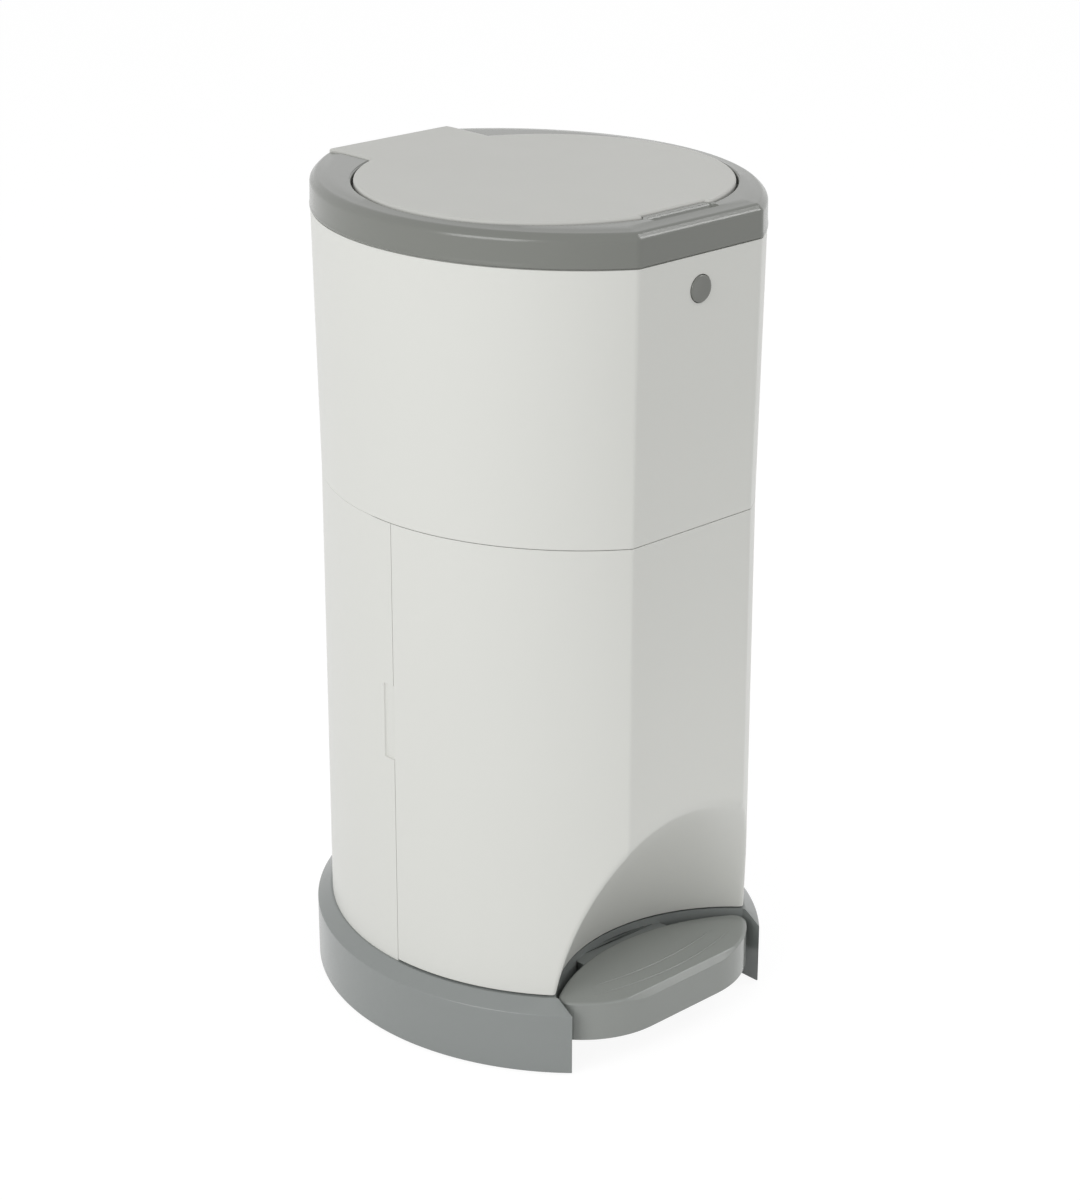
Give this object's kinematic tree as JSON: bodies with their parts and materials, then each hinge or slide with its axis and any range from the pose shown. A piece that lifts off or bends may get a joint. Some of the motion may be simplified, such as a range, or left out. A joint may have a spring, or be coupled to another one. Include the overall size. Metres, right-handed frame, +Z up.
{
  "type": "nappy bin",
  "caption": "Upright foot-pedal bin for used nappies: bowed body, hinged hood and round lid, toe scoop, front door, refill ring and twin odour flaps.",
  "frame": {"origin": "middle of the footprint of the whole bin, on the floor", "axes": "+Z up, +Y to the back, front with pedal, door and button faces -Y, +X to the right seen from behind the front"},
  "size_m": [0.2788, 0.292, 0.54],
  "materials": {
    "body_white": "satin moulded off-white",
    "lid_white": "fine matt texture, pale warm grey",
    "hood_grey": "satin moulded grey",
    "base_grey": "satin moulded grey",
    "pedal_grey": "satin moulded grey",
    "button_grey": "satin moulded grey",
    "inner_white": "matt moulded",
    "inner_grey": "matt moulded",
    "rubber_black": "matt rubber",
    "refill_blue": "matt moulded",
    "film_clear": "thin film, pleated",
    "steel": "zinc plated"
  },
  "bodies": {
    "housing": {"base_skirt": "base_grey", "rubber_feet": "rubber_black", "floor_tray": "inner_white", "base_screws": "steel", "lower_housing": "body_white", "upper_housing": "body_white", "rod_channel": "inner_white", "rod_guide": "inner_grey", "liner_deck": "inner_white", "deck_screws": "steel", "chute": "inner_white", "refill_cassette": "refill_blue", "refill_film": "film_clear", "trap_frame": "inner_white", "trap_pin_left": "steel", "trap_pin_right": "steel", "trap_spring_left": "steel", "trap_spring_right": "steel", "hinge_pin": "steel", "pedal_pin": "steel", "button_spring": "steel", "door_hinge_pins": "steel", "catch_keeper": "inner_grey"},
    "flap_left": {"flap_left": "inner_grey", "flap_lip_left": "rubber_black"},
    "flap_right": {"flap_right": "inner_grey", "flap_lip_right": "rubber_black"},
    "hood": {"hood_rim": "hood_grey", "hood_hook": "inner_grey"},
    "lid": {"lid_cover": "lid_white", "lid_seal": "rubber_black", "lid_plunger": "inner_white", "lid_bracket": "inner_grey", "roller_pin": "steel", "crank_roller": "inner_white"},
    "push_rod": {"push_rod": "inner_white"},
    "pedal": {"pedal_tread": "pedal_grey", "pedal_lever": "inner_grey", "pedal_screws": "steel"},
    "front_button": {"front_button": "button_grey"},
    "door": {"door_panel": "body_white", "door_catch": "inner_grey", "cutter_holder": "inner_grey", "cutter_blade": "steel"}
  },
  "joints": [
    {"name": "hood_hinge", "type": "hinge", "parent": "housing", "child": "hood", "pos_m": [0, 0.126, 0.531], "axis": [-1, 0, 0], "range_deg": [0, 75]},
    {"name": "lid_hinge", "type": "hinge", "parent": "hood", "child": "lid", "pos_m": [0, 0.126, 0.531], "axis": [-1, 0, 0], "range_deg": [0, 80]},
    {"name": "push_rod_slide", "type": "slide", "parent": "housing", "child": "push_rod", "axis": [0, 0, 1], "range_m": [0, 0.0282]},
    {"name": "pedal_hinge", "type": "hinge", "parent": "housing", "child": "pedal", "pos_m": [0, -0.053, 0.025], "axis": [1, 0, 0], "range_deg": [0, 10.01]},
    {"name": "flap_left_hinge", "type": "hinge", "parent": "housing", "child": "flap_left", "pos_m": [-0.064, -0.013, 0.378], "axis": [0, 1, 0], "range_deg": [0, 80], "stiffness_Nm_per_rad": 0.03, "springref_deg": -57.3},
    {"name": "flap_right_hinge", "type": "hinge", "parent": "housing", "child": "flap_right", "pos_m": [0.064, -0.013, 0.378], "axis": [0, -1, 0], "range_deg": [0, 80], "stiffness_Nm_per_rad": 0.03, "springref_deg": -57.3},
    {"name": "button_slide", "type": "slide", "parent": "housing", "child": "front_button", "axis": [0, 1, 0], "range_m": [0, 0.004], "stiffness_N_per_m": 400, "springref_m": -0.003},
    {"name": "door_hinge", "type": "hinge", "parent": "housing", "child": "door", "pos_m": [0.1279, -0.013, 0.2], "axis": [0, 0, 1], "range_deg": [0, 110]}
  ],
  "couplings": [
    {"joint": "push_rod_slide", "follows": "lid_hinge", "m_per_rad": 0.02012},
    {"joint": "pedal_hinge", "follows": "lid_hinge", "ratio": 0.125}
  ]
}
